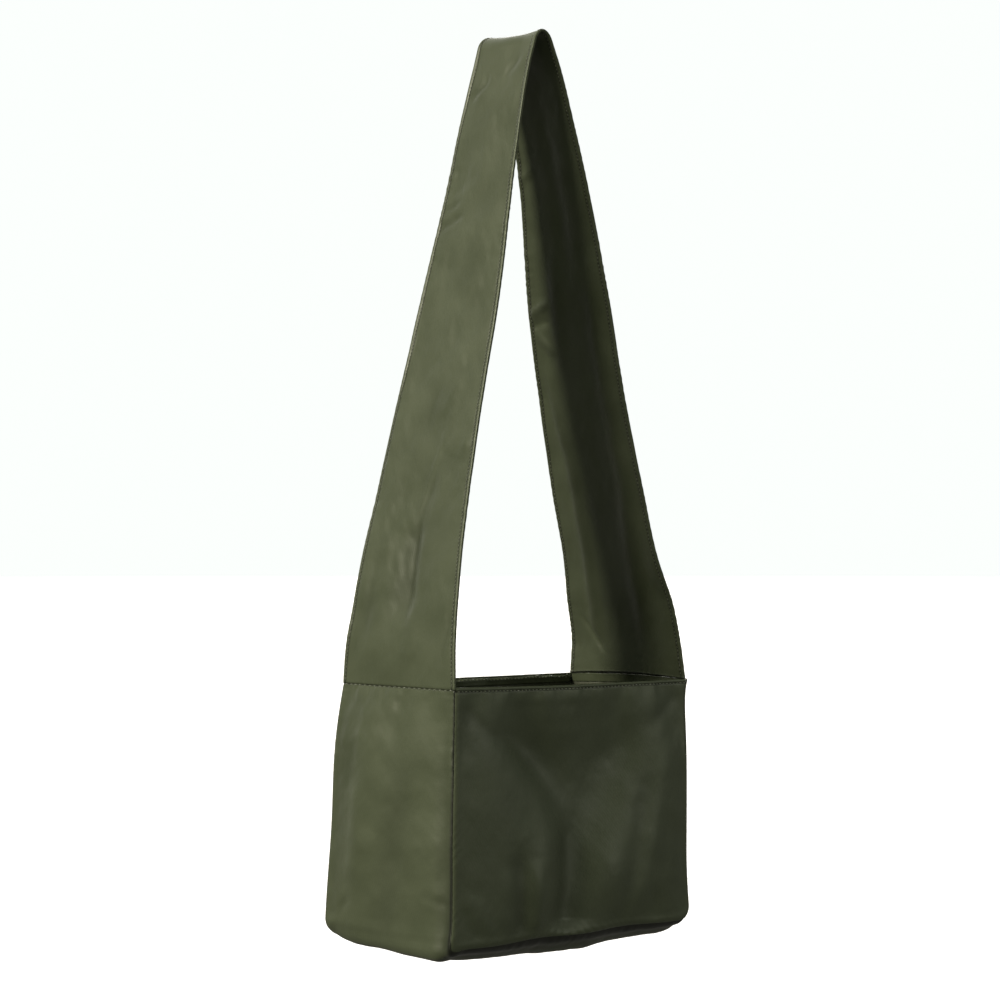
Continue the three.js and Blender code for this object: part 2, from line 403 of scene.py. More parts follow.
def panel_rows():
    """The height and half width of each row of a panel, straight down, then round the corner."""
    turn = np.linspace(0, math.pi / 2, CORNER_ROWS + 1)[1:]
    down = np.concatenate([np.linspace(0, STRAIGHT_DROP, STRAIGHT_ROWS + 1),
                           STRAIGHT_DROP + CORNER_RADIUS * np.sin(turn)])
    half = np.concatenate([np.full(STRAIGHT_ROWS + 1, MOUTH_HALF_WIDTH),
                           MOUTH_HALF_WIDTH - CORNER_RADIUS * (1 - np.cos(turn))])
    return MOUTH_Z - down, half


# How far each part of the sewn shell stands out of a flat box, or drops below it.
GUSSET_BULGE = 8.5 * MM
BASE_SAG = 9.8 * MM
FRONT_DROP = 3.0 * MM
BACK_DROP = 4.5 * MM
FRONT_SWELL = 8 * MM
BACK_SWELL = 3 * MM
UPPER_EAR = 3.2 * MM
LOWER_EAR = 4.5 * MM
MOUTH_ARCH = 2.5 * MM


def shell_points():
    """All the shell's points, and the index grids of its front, back and gusset."""
    z, half = panel_rows()
    across = np.linspace(-1, 1, COLUMNS + 1)
    share = depth_share(z)[:, None]
    place = across * half[:, None]
    x = half[:, None] * (1 + (WIDTH_FLARE - 1) * share) * across
    swell = BACK_SWELL * (1 - fading(share * BAG_HEIGHT, 32 * MM))
    back_x = x + swell * across
    # The front's upper right corner and both lower ones are drawn out into ears.
    low = MOUTH_Z - PANEL_DROP - z[:, None]
    from_upper_right = np.hypot(MOUTH_HALF_WIDTH - place, MOUTH_Z - z[:, None])
    from_lower_left = np.hypot(place + MOUTH_HALF_WIDTH, low)
    from_lower_right = np.hypot(place - MOUTH_HALF_WIDTH, low)
    pulled = LOWER_EAR * fading(from_lower_left, 9 * MM, 2)
    front_x = x + UPPER_EAR * fading(from_upper_right, 10 * MM) - pulled
    front_x = front_x + 0.5 * LOWER_EAR * fading(from_lower_right, 32 * MM, 2)
    front_y = -MOUTH_HALF_DEPTH + (FRONT_BASE_Y + MOUTH_HALF_DEPTH) * share + 0 * x
    hang = np.sin(math.pi * np.clip(share, 0, 1)) * (1 - across ** 2)
    front_y = front_y - FRONT_SWELL * hang
    back_y = MOUTH_HALF_DEPTH + (BACK_BASE_Y - MOUTH_HALF_DEPTH) * share + swell + 0 * x
    drop = FRONT_DROP * share * (1 - 0.5 * across)
    front_points = np.stack([front_x, front_y, z[:, None] - drop - pulled], -1)
    back_points = np.stack([back_x, back_y, z[:, None] - BACK_DROP * share + 0 * x], -1)
    front = np.arange(x.size).reshape(x.shape)
    back = front + x.size
    front_edge = np.concatenate([front[:, 0], front[-1, 1:-1], front[::-1, -1]])
    back_edge = front_edge + x.size
    points = np.concatenate([front_points.reshape(-1, 3), back_points.reshape(-1, 3)])
    t = np.linspace(0, 1, GUSSET_COLUMNS + 1)[1:-1, None]
    middle = points[back_edge][:, None] * (1 - t) + points[front_edge][:, None] * t
    middle = middle + gusset_bulge(points[front_edge], t)
    inside = len(points) + np.arange(middle.shape[0] * middle.shape[1]).reshape(middle.shape[:2])
    gusset = np.concatenate([back_edge[:, None], inside, front_edge[:, None]], 1)
    points = np.concatenate([points, middle.reshape(-1, 3)])
    return points, front, back[:, ::-1], gusset


def gusset_bulge(edge, t):
    """How far the gusset hangs out of the flat strip between its two seams."""
    along = unit(np.gradient(edge, axis=0))
    out = np.cross(along, [0, -1, 0])
    down = depth_share(edge[:, 2:])
    side = GUSSET_BULGE * np.sin(math.pi * np.clip(down, 0, 1) ** 0.8) * (1 - np.abs(out[:, 2:]))
    to_side = np.clip(np.abs(edge[:, :1]) / MOUTH_HALF_WIDTH, 0, 1)
    base = BASE_SAG * np.clip(-out[:, 2:], 0, 1) ** 2 * (1 - 0.3 * to_side ** 2)
    towards_front = 2 * t - 1
    side_profile = (1 - towards_front ** 2) * (1 - 0.45 * towards_front)
    base_profile = (1 - np.abs(towards_front) ** 8) * (1 + 0.5 * towards_front)
    return out[:, None] * (side[:, None] * side_profile + base[:, None] * base_profile)


def fold_seeds(points):
    """The shell's points with the long shallow waves that the simulation starts from."""
    x, y, z = points.T
    held = np.clip(depth_share(z) / 0.12, 0, 1)
    amount = ripples(x, y + z, 110 * MM, seed=11) * 1.2 * MM * held
    return points + unit(points - np.array([0, 0, MOUTH_Z - BAG_HEIGHT / 2])) * amount[:, None]


def simulate(points, faces, pinned):
    """Hangs the sewn shell from its mouth as cloth and gives its points back."""
    hung = new_mesh("hung_shell", points, faces)
    pins = hung.vertex_groups.new(name="pins")
    pins.add(pinned.tolist(), 1.0, "REPLACE")
    modifier = hung.modifiers.new("cloth", "CLOTH")
    assign(modifier.settings, vertex_group_mass="pins", quality=6, mass=0.3,
           tension_stiffness=60, compression_stiffness=60, shear_stiffness=30,
           bending_stiffness=30, shrink_min=-0.004, use_pressure=True,
           uniform_pressure_force=0.25)
    modifier.settings.effector_weights.gravity = 0.012
    modifier.collision_settings.use_collision = False
    frames = 24
    modifier.point_cache.frame_end = frames
    for number in range(1, frames + 1):
        SCENE.frame_set(number)
    evaluated = hung.evaluated_get(bpy.context.evaluated_depsgraph_get())
    found = np.zeros(len(points) * 3, np.float32)
    evaluated.to_mesh().vertices.foreach_get("co", found)
    SCENE.frame_set(1)
    bpy.data.objects.remove(hung)
    return found.reshape(-1, 3).astype(float)


def hang_shell():
    """The hung points of the front, the back and the gusset."""
    points, front, back, gusset = shell_points()
    faces = np.concatenate([quads_of(front), quads_of(back), quads_of(gusset)])
    points = fold_seeds(points)
    pinned = np.unique(np.concatenate([front[0], back[0], gusset[0], gusset[-1]]))
    points = simulate(points, faces, pinned)
    return points[front], points[back], points[gusset]


# ---- fine surfaces of the panels ----

SEAM_DEPTH = 1.5 * MM


def panel_lines():
    """Where a panel's fine rows and columns lie: fractional places and distances."""
    z, half = panel_rows()
    down = np.concatenate([spaced(30 * MM, 0.55 * MM, 1.9 * MM, 6 * MM, both=False),
                           np.linspace(30 * MM, STRAIGHT_DROP, 72)[1:]])
    rows = down / STRAIGHT_DROP * STRAIGHT_ROWS
    corner = np.linspace(0, CORNER_ROWS, CORNER_ROWS * 3 + 1)[1:]
    rows = np.concatenate([rows, STRAIGHT_ROWS + corner])
    steps = spaced(2 * MOUTH_HALF_WIDTH, 0.5 * MM, 1.35 * MM, 3 * MM)
    columns = steps / (2 * MOUTH_HALF_WIDTH) * COLUMNS
    down = MOUTH_Z - along_rows(z, rows)
    width = along_rows(half, rows)
    return rows, columns, down, width


def seam_distance(x, down):
    """Distance from the panel's U-shaped seam on the flat cloth, and the way out to it."""
    qx = np.abs(x) - (MOUTH_HALF_WIDTH - CORNER_RADIUS)
    qz = down - STRAIGHT_DROP
    cx, cz = np.maximum(qx, 0), np.maximum(qz, 0)
    reach = np.hypot(cx, cz)
    inside = np.where(reach > 0, reach, np.maximum(qx, qz))
    side = np.where(reach > 0, cx / np.maximum(reach, 1e-9), (qx > qz).astype(float))
    fall = np.where(reach > 0, cz / np.maximum(reach, 1e-9), (qz >= qx).astype(float))
    outwards = np.stack([side * np.sign(x), np.zeros_like(x), -fall], -1)
    return np.maximum(CORNER_RADIUS - inside, 0), outwards


def seam_pull(distance):
    """How much of the seam's pull a point feels."""
    return fading(distance, 1.5 * MM, 1.4)


def gathers(along, pitch, wander, wavelength, seed):
    """Even waves along a seam, whose places wander over a wavelength."""
    return np.cos(2 * math.pi * along / pitch + wander * ripples(along, 0 * along, wavelength, seed))


def puckers(distance, along, seed, strength):
    """Small gathers that run out of a seam, uneven along it."""
    wave = gathers(along, 7.5 * MM, 2.2, 40 * MM, seed)
    uneven = np.clip(0.55 + 0.6 * ripples(along, 0 * along, 60 * MM, seed + 1), 0, 1.4)
    away = fading(distance, 6 * MM) * np.clip(distance / (1.2 * MM), 0, 1)
    return strength * wave * uneven * away


# Folds of the front, the back and the gusset's side and base, mm: both ends as (place
# across, place down or along), the width and how far the fold stands out.
FRONT_FOLDS = [
    ((-8, 110), (-10, 186), 14, -2.4),
    ((-42, 136), (-38, 186), 9, 2.2),
    ((-58, 124), (-54, 186), 9, -2.4),
    ((92, 60), (62, 178), 10, 1.2),
    ((76, 70), (46, 180), 9, -1.2),
    ((108, 60), (96, 180), 14, 1.0),
    ((-112, 14), (-70, 44), 6, -0.7),
    ((112, 10), (80, 34), 6, -0.7),
    ((-108, 150), (-84, 178), 7, 0.8),
]
BACK_FOLDS = [
    ((-90, 20), (-30, 190), 22, 2.4),
    ((70, 15), (12, 190), 26, -3.6),
    ((100, 60), (60, 185), 14, 2.0),
    ((-20, 90), (-50, 185), 12, -1.6),
]
GUSSET_FOLDS = [
    ((20, 40), (34, 178), 12, 1.6),
    ((44, 12), (52, 150), 12, -1.4),
    ((-20, 60), (2, 188), 14, -1.4),
    ((-62, 156), (-40, 151), 4.0, -0.7),
    ((58, 176), (38, 160), 4, -1.2),
    ((62, 184), (50, 168), 3.5, 1.0),
    ((-40, 215), (20, 250), 10, 1.8),
    ((30, 280), (-30, 300), 12, -1.8),
    ((-48, 330), (-10, 380), 10, 1.6),
    ((10, 440), (24, 560), 14, 1.6),
    ((-34, 470), (-26, 590), 12, -1.5),
]


def folds(a, b, some):
    """The height of the listed folds at places (a, b)."""
    return sum(crease(a / MM, b / MM, *fold) for fold in some) * MM


def fold_shade(heights):
    """How much shade is painted into the cloth's colour in the deep of a fold."""
    return np.clip(-heights / (9 * MM), 0, 0.42)


VALLEY_DEPTH = 21 * MM
VALLEY_TOP = 34 * MM
LEFT_ARM_FOOT = -6 * MM
LEFT_ARM_REACH = 60 * MM
RIGHT_ARM_HEAD = 72 * MM
RIGHT_ARM_SLOPE = 0.53


def valley(x, down):
    """The V that hangs from the front's upper corners: the cloth between its arms lies deeper.
    The left arm curves down to its foot and the right arm is straight."""
    lower = np.clip(down - VALLEY_TOP, 0, None)
    left_arm = LEFT_ARM_FOOT - LEFT_ARM_REACH * fading(lower, 47 * MM, 1.2)
    right_arm = RIGHT_ARM_HEAD - RIGHT_ARM_SLOPE * lower
    right_of_left = (x - left_arm) / (8.5 * MM)
    left_of_right = (right_arm - x) / (9 * MM)
    inside = 1 / (1 + np.exp(-right_of_left)) / (1 + np.exp(-left_of_right))
    shallower = fading(np.clip(x - left_arm, 0, None), 130 * MM)
    from_rim = 1 - fading(down, 38 * MM, 2)
    return -VALLEY_DEPTH * inside * shallower * from_rim


def rim_shape(down, x, seed):
    """The turned top edge: a stitched groove with gathers under it."""
    groove = -0.5 * MM * bump(down, RIM_STITCH, 0.75 * MM)
    fold = 0.25 * MM * bump(down, 1.4 * MM, 1.3 * MM)
    wave = gathers(x, 2 * STITCH_PITCH, 1.6, 25 * MM, seed)
    below = np.clip((down - RIM_STITCH) / (1.5 * MM), 0, 1) * fading(down, 4 * MM)
    round_over = -0.5 * MM * fading(down, 0.5 * MM, 1.5)
    return groove + fold + round_over + 0.14 * MM * wave * below


def fine_panel(coarse, side, seed):
    """A panel's outer face in full detail. side is -1 for the front, 1 for the back."""
    rows, columns, down, width = panel_lines()
    fine = resample(coarse, rows, columns)
    across = (columns / COLUMNS * 2 - 1)[None] * width[:, None]
    down = over_grid(down, columns)[0]
    x = across if side < 0 else -across
    distance, outwards = seam_distance(x, down)
    swell = 0.35 * MM * bump(distance, 4.5 * MM, 2.6 * MM)
    out = normals(fine)
    along = down - np.abs(x)
    lift = swell + puckers(distance, along, seed, 0.22 * MM) + rim_shape(down, x, seed + 5)
    held = np.clip(distance / (12 * MM), 0, 1) * np.clip(down / (14 * MM), 0, 1)
    creases = folds(x, down, FRONT_FOLDS if side < 0 else BACK_FOLDS) * held
    lift = lift + crumples(x, down, seed + 9, 0.6) * held + creases
    if side < 0:
        lift = lift + valley(x, down) * held
    fine = fine + out * lift[..., None]
    seam_way = outwards + np.array([0, side, 0])
    fine = fine - seam_way * (seam_pull(distance) * SEAM_DEPTH * 0.7)[..., None]
    if side < 0:
        rise = 2.2 * MM * np.clip(-x / MOUTH_HALF_WIDTH, 0, 1) ** 1.5
        fine[..., 2] += rise * fading(down, 12 * MM)
    flat = on_cloth(x, down)
    # Painted shade: the colour is darker in the folds' deeps, right along the seam and in the rim's
    # stitch groove.
    painted_shade = (fold_shade(creases) + 0.9 * fading(distance, 0.5 * MM, 2)
              + 0.9 * bump(down, RIM_STITCH, 0.7 * MM))
    return fine, flat, painted_shade


def panel_point(down, x):
    """The fractional fine row and column of places on a panel, by distance from its rim."""
    rows, columns, down_of_rows, width = panel_lines()
    number = np.arange(len(rows))
    row = np.interp(down, down_of_rows, number)
    across = x / np.interp(row, number, width)
    return row, np.interp(across, columns / COLUMNS * 2 - 1, np.arange(len(columns)))


def gusset_lines():
    """Distances of the gusset's fine rows along it and of its fine columns across it."""
    along = spaced(gusset_length()[-1], 0.6 * MM, 2.0 * MM, 5 * MM)
    steps = spaced(2 * MOUTH_HALF_DEPTH, 0.5 * MM, 1.5 * MM, 3 * MM)
    return along, steps - MOUTH_HALF_DEPTH


def gusset_length():
    """Distances of the gusset's coarse rows along it, from the left seam round to the right."""
    z, half = panel_rows()
    steps = np.hypot(np.diff(z), np.diff(half))
    side = np.concatenate([[0], np.cumsum(steps)])
    base = side[-1] + np.linspace(0, 2 * half[-1], COLUMNS + 1)[1:-1]
    total = 2 * side[-1] + 2 * half[-1]
    return np.concatenate([side, base, total - side[::-1]])


def fine_gusset(coarse):
    """The gusset's outer face in full detail, from the left seam under the bag to the right."""
    place = gusset_length()
    total = place[-1]
    along, across = gusset_lines()
    rows = np.interp(along, place, np.arange(len(place)))
    columns = (across / MOUTH_HALF_DEPTH + 1) / 2 * GUSSET_COLUMNS
    fine = resample(coarse, rows, columns)
    s, y = over_grid(along, -across)
    distance = MOUTH_HALF_DEPTH - np.abs(y)
    mirrored = np.minimum(s, total - s)
    # The hollow beside the seam deepens down the gusset's front edge.
    deep = np.clip(mirrored / PANEL_DROP, 0, 1) ** 1.5 * (y < 0)
    dip = -(0.8 + 2.0 * deep) * MM * bump(distance, 8 * MM, 6.5 * MM)
    out = normals(fine)
    turn = np.clip((mirrored - PANEL_DROP + CORNER_RADIUS) / CORNER_RADIUS, 0, math.pi / 2)
    side = np.where(s < total / 2, -1, 1)
    seam_way = np.stack([side * np.cos(turn), np.sign(y), -np.sin(turn)], -1)
    lift = dip + puckers(distance, mirrored + 0.3 * MM * np.sign(y), 31, 0.22 * MM)
    held = np.clip(distance / (4 * MM), 0, 1) * np.clip(mirrored / (14 * MM), 0, 1)
    creases = folds(y, s, GUSSET_FOLDS) * held
    lift = lift + crumples(s, y, 37, 0.75) * held + creases + strap_seam_shape(mirrored, y, 41)
    fine = fine + out * lift[..., None]
    fine = fine - seam_way * (seam_pull(distance) * SEAM_DEPTH * 0.45)[..., None]
    fine[..., 2] += mouth_arch(fine[..., 0], y, mirrored)
    flat = on_cloth(y, s)
    # Painted shade: the colour is darker in the folds and the dip, along the seam, in a wider band down
    # the front edge and in the strap's seam groove.
    painted_shade = (fold_shade(creases + dip) + fading(distance, (1.4 + 1.4 * deep) * MM, 2)
              + 0.6 * deep * fading(distance, 6 * MM, 2) + 0.85 * fading(mirrored, 0.7 * MM, 2))
    return fine, flat, painted_shade


def strap_seam_shape(distance, y, seed):
    """The groove and gathers where the strap is sewn to the gusset."""
    groove = -0.5 * MM * fading(distance, 0.7 * MM, 1.5)
    wave = gathers(y, 1.7 * STITCH_PITCH, 2.4, 25 * MM, seed)
    uneven = np.clip(0.35 + 0.8 * ripples(y, 0 * y, 22 * MM, seed + 1), 0, 1.2)
    beside = 0.35 * MM * wave * uneven * fading(distance, 3.5 * MM)
    return groove + beside * np.clip(distance / (1.5 * MM), 0, 1)


def mouth_arch(x, y, distance):
    """How far the right end of the mouth stands up between its corners."""
    rise = MOUTH_ARCH * np.clip(1 - (y / MOUTH_HALF_DEPTH) ** 2, 0, 1) * (x > 0)
    return rise * fading(distance, 16 * MM, 2)


# ---- the strap ----

def strap_line():
    """Both edges of the strap's inner face in X and Z, closely spaced, front edge first."""
    def side(points, edge, sign):
        """A smooth curve up one half, from the seam to the crown's arc."""
        end = sign * CROWN_HALF_TURN
        crown = (CROWN_RADIUS * math.sin(end), -CROWN_RADIUS * (1 - math.cos(end)))
        near = [(sign * row[edge] * MM, MOUTH_Z + row[0] * MM) for row in points] + [crown]
        return along_rows(np.array(near), np.linspace(0, len(near) - 1, 400))

    turn = np.linspace(-CROWN_HALF_TURN, CROWN_HALF_TURN, 60)[1:-1]
    arc = np.stack([CROWN_RADIUS * np.sin(turn), -CROWN_RADIUS * (1 - np.cos(turn))], -1)
    return [np.concatenate([side(LEFT_STRAP, edge, -1), arc, side(RIGHT_STRAP, edge, 1)[::-1]])
            for edge in (1, 2)]


def strap_half_width(up):
    """Half the strap's width at a height above the mouth: a taper, a little waisted."""
    share = np.clip(up / STRAP_DROP, 0, 1)
    straight = MOUTH_HALF_DEPTH + (CROWN_HALF_WIDTH - MOUTH_HALF_DEPTH) * share
    return straight - 2 * MM * np.sin(math.pi * share)


# Folds of the strap's two halves, mm: both ends as (height above the mouth, place across,
# front to back), the width and how far the fold stands out of the loop.
LEFT_FOLDS = [
    ((57, 4), (112, 6), 13, -2.4),
    ((57, -5), (116, -3), 5, -1.6),
    ((104, 2), (158, -12), 9, -1.4),
    ((128, 2), (186, -15), 2.5, 0.5),
    ((20, -50), (58, -58), 4, -0.8),
    ((30, 44), (100, 40), 6, -0.7),
    ((196, 8), (232, 0), 7, -0.7),
    ((352, 38), (362, 14), 3.0, -1.1),
    ((366, 36), (372, 20), 2.5, -0.8),
    ((484, -20), (472, -8), 3.5, -1.1),
    ((468, 12), (456, 26), 3.5, -0.9),
]
RIGHT_FOLDS = [
    ((40, -24), (150, -34), 9, -2.8),
    ((150, -34), (300, -26), 8, -2.4),
    ((34, 33), (105, 26), 6, -2.4),
    ((105, 26), (165, 24), 6, -2.2),
    ((165, 24), (232, 33), 6, -2.0),
    ((46, 47), (18, 24), 3, 1.6),
    ((290, 42), (298, 22), 3.5, -2.4),
    ((281, 42), (284, 24), 3.0, 1.6),
    ((274, 40), (258, 22), 4, -1.3),
    ((250, 16), (330, 10), 7, -1.6),
    ((396, 40), (402, 22), 3.0, -1.2),
    ((330, -4), (450, -2), 8, 1.6),
]


def strap_surface():
    """The strap's middle surface, each point's place on the cloth, its distance from the
    strap's edge and how much shade is painted into its colour in the deep of a fold."""
    front, back = strap_line()
    length = distance_along((front + back) / 2)
    total = length[-1]
    half = spaced(total / 2, 0.7 * MM, 2.4 * MM, 5 * MM, both=False)
    along = np.concatenate([half, total - half[-2::-1]])
    across = spaced(2.0, 0.012, 0.03, 0.07) - 1
    s, t = over_grid(along, across)
    front, back = [at_distance(along, length, edge)[:, None] for edge in (front, back)]
    place = front + (back - front) * (t[..., None] + 1) / 2
    crown = bump(s, total / 2, 24 * MM)
    x = place[..., 0] * (1 - CROWN_PINCH * crown * np.clip(0.5 - t, 0, 1))
    z = place[..., 1] - CROWN_SADDLE * crown * (1 - t ** 2)
    up = z - MOUTH_Z
    y = t * strap_half_width(up)
    grid = np.stack([x, y, z], -1)
    out = normals(grid)
    standing = np.where(x < 0, folds(up, y, LEFT_FOLDS), folds(up, y, RIGHT_FOLDS))
    waves = 0.7 * MM * ripples(s * 0.3, y * 0.7, 60 * MM, 51)
    seam = np.minimum(s, total - s)
    calm = np.clip(seam / (25 * MM), 0, 1) * np.clip((1 - np.abs(t)) / 0.12, 0.25, 1)
    lift = (standing + waves + crumples(s, y, 55)) * calm * (1 - 0.7 * crown)
    edge = strap_half_width(up) * (1 - np.abs(t))
    lift = lift + puckers(edge, s, 61, 0.45 * MM) + strap_seam_shape(seam, y, 65)
    grid = grid + out * (lift + STRAP_LAYER)[..., None]
    grid[..., 2] += mouth_arch(x, y, seam)
    return grid, on_cloth(y, s), edge, fold_shade(standing)


def strap_layers():
    """The strap's outer and inner faces: thick at the turned edges, grooved at the stitches."""
    grid, flat, edge, painted_shade = strap_surface()
    out = normals(grid)
    groove = 0.25 * MM * bump(edge, STRAP_STITCH, 0.7 * MM)
    turned = 0.25 * MM * bump(edge, 1.6 * MM, 1.4 * MM)
    thin = 0.35 * MM * fading(edge, 0.4 * MM, 1.5)
    half = STRAP_LAYER + 0.1 * MM + turned - groove - thin
    outer, inner = grid + out * half[..., None], grid - out * half[..., None]
    end = np.minimum(flat[..., 1], flat[..., 1].max() - flat[..., 1])
    # Painted shade: the colour is darker in the folds, in the stitch grooves and in the seams at both
    # ends.
    painted_shade = painted_shade + 0.9 * bump(edge, STRAP_STITCH, 0.8 * MM) + 0.85 * fading(end, 0.7 * MM, 2)
    return outer, inner, flat, edge, painted_shade


# ---- stitches ----

RINGS = 5
SIDES = 6


def stitches(name, rows, kind, material):
    """Separate stitches. Each row is (points, normals): the line that the needle followed.
    A stitch is a bowed tube of rings that sinks into the cloth at both ends."""
    spacing, thread_length, radius = [size * MM for size in kind]
    bow = np.linspace(-1, 1, RINGS)
    angle = np.linspace(0, 2 * math.pi, SIDES, endpoint=False)
    points = []
    for line, out in rows:
        length = distance_along(line)
        count = max(1, int(length[-1] / spacing))
        pitch = length[-1] / count
        for number in range(count):
            middle = (number + 0.5) * pitch
            at = middle + bow * thread_length / 2
            place = at_distance(at, length, line)
            up = unit(at_distance(middle, length, out))
            ahead = unit(place[-1] - place[0])
            side = np.cross(up, ahead)
            rise = radius * (0.75 - 1.5 * bow ** 4)
            size = radius * np.sqrt(np.maximum(1 - 0.55 * bow ** 6, 0.05))
            core = place + up * rise[:, None]
            ring = side * np.cos(angle)[:, None] + up * np.sin(angle)[:, None]
            tube = core[:, None] + ring[None] * size[:, None, None]
            ends = np.stack([core[0] - ahead * size[0] * 0.5, core[-1] + ahead * size[-1] * 0.5])
            points.append(np.concatenate([tube.reshape(-1, 3), ends]))
    pairs = [(a, (a + 1) % SIDES) for a in range(SIDES)]
    tip = RINGS * SIDES
    last = tip - SIDES
    walls = [(k + a, k + b, k + SIDES + b, k + SIDES + a)
             for k in range(0, last, SIDES) for a, b in pairs]
    caps = [(b, a, tip) for a, b in pairs] + [(last + a, last + b, tip + 1) for a, b in pairs]
    faces = [[number * (tip + 2) + v for v in face]
             for number in range(len(points)) for face in walls + caps]
    return new_mesh(name, np.concatenate(points), faces, material=material)


def places_on(face, rows, columns):
    """Points of a face, at pairs of a fractional row and column, and the normals there."""
    return pick(face, rows, columns), unit(pick(normals(face), rows, columns))


# ---- putting the purse together ----

SATIN = woven("satin", (0.046, 0.056, 0.0285), (0.062, 0.0745, 0.0395), roughness=0.45, sheen=0.05,
              weave_pitch=0.30 * MM, weave_depth=0.012 * MM, crumple_depth=0.28 * MM)
LINING_CLOTH = woven("lining", (0.030, 0.034, 0.019), (0.042, 0.047, 0.027), roughness=0.55, sheen=0.15,
                     weave_pitch=0.35 * MM, weave_depth=0.02 * MM, crumple_depth=0.35 * MM)
THREAD = thread()
NICKEL = dark_nickel()


def finish_piece(piece, body, node_name):
    """The piece rides on a body and stands for its CAD node, whose part is hidden."""
    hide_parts(node_name)
    if body == "strap":
        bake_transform(piece)
    else:
        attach(piece, body)


def build_shell():
    """Front, back and gusset, each a sheet sewn to the next, and what lines them."""
    front, back, gusset = hang_shell()
    front, back, gusset = fine_panel(front, -1, 71), fine_panel(back, 1, 81), fine_gusset(gusset)
    panel_size = (2 * MOUTH_HALF_WIDTH, PANEL_DROP)
    gusset_size = (2 * MOUTH_HALF_DEPTH, gusset_length()[-1])
    for node_name, shape, size in (("front_panel", front, panel_size),
                                   ("back_panel", back, panel_size),
                                   ("gusset", gusset, gusset_size)):
        face, flat, painted_shade = shape
        piece = cloth(node_name + "_satin", face, SHELL, flat, painted_shade, SATIN)
        finish_piece(piece, "bag", node_name)
    front_face, back_face, gusset_face = front[0], back[0], gusset[0]
    build_lining(front_face, back_face, gusset_face)
    build_pocket(back_face)
    build_snap("snap_stud_half", STUD, front_face, "snap_stud")
    build_snap("snap_socket_half", SOCKET, back_face, "snap_socket")
    build_rim_stitches(front_face, back_face)
    build_seam_stitches(gusset_face)


def inside_panel(face, down, inset, depth):
    """A grid behind a panel: rows at the given distances down, kept inset from the seam."""
    radius = CORNER_RADIUS - inset
    width = np.full(len(down), MOUTH_HALF_WIDTH - inset)
    into_corner = np.clip(down - STRAIGHT_DROP, 0, radius)
    width -= radius
    width += np.sqrt(np.maximum(radius ** 2 - into_corner ** 2, 0))
    across = np.linspace(-1, 1, 121)
    x = across[None] * width[:, None]
    drop = over_grid(down, across)[0]
    place, out = places_on(face, *panel_point(drop, x))
    return place - out * depth, on_cloth(x, drop)


def inside_gusset(face, along, inset, depth):
    """A grid inside the gusset: rows at the given distances along it."""
    rows, across = gusset_lines()
    y = np.linspace(-1, 1, 71) * (MOUTH_HALF_DEPTH - inset)
    row, column = over_grid(np.interp(along, rows, np.arange(len(rows))),
                            np.interp(y, across, np.arange(len(across))))
    place, out = places_on(face, row, column)
    down, side = over_grid(along, -y)
    return place - out * depth, on_cloth(side, down)


def build_lining(front_face, back_face, gusset_face):
    """Facings round the mouth, and under them the lining of the two panels and the gusset."""
    depth = SHELL + CLEAR
    inset = depth + LINING
    top = np.linspace(0.4 * MM, FACING_WIDTH, 9)
    turn = np.linspace(0, math.pi / 2, 25)[1:]
    below = np.concatenate([np.linspace(FACING_WIDTH + CLEAR, STRAIGHT_DROP, 90),
                            STRAIGHT_DROP + (CORNER_RADIUS - inset) * np.sin(turn)])
    total = gusset_length()[-1]
    pieces = []
    for side, face in (("front", front_face), ("back", back_face)):
        pieces.append((side + "_facing", inside_panel(face, top, inset + FACING, depth), FACING))
        pieces.append((side + "_lining", inside_panel(face, below, inset, depth), LINING))
    for side, along in (("left", top), ("right", total - top[::-1])):
        grid = inside_gusset(gusset_face, along, inset + FACING, depth)
        pieces.append((side + "_facing", grid, FACING))
    strip = np.linspace(FACING_WIDTH + CLEAR, total - FACING_WIDTH - CLEAR, 320)
    pieces.append(("gusset_lining", inside_gusset(gusset_face, strip, inset, depth), LINING))
    for name, (grid, flat), thickness in pieces:
        facing = name.endswith("facing")
        if facing:
            uneven = 0.35 * MM * ripples(flat[..., 0], flat[..., 1] * 0.3, 9 * MM, len(name))
            grid = grid - normals(grid) * np.abs(uneven)[..., None]
        material = SATIN if facing else LINING_CLOTH
        piece = cloth(name + "_cloth", grid, thickness, flat, 0 * flat[..., 0], material)
        finish_piece(piece, "bag", name)


POCKET_HALF_WIDTH = 56 * MM
POCKET_TOP = 42 * MM
POCKET_HEIGHT = 98 * MM
POCKET_CLOTH = 0.6 * MM
POCKET_STITCH = 3 * MM
POCKET_HEM = 7 * MM


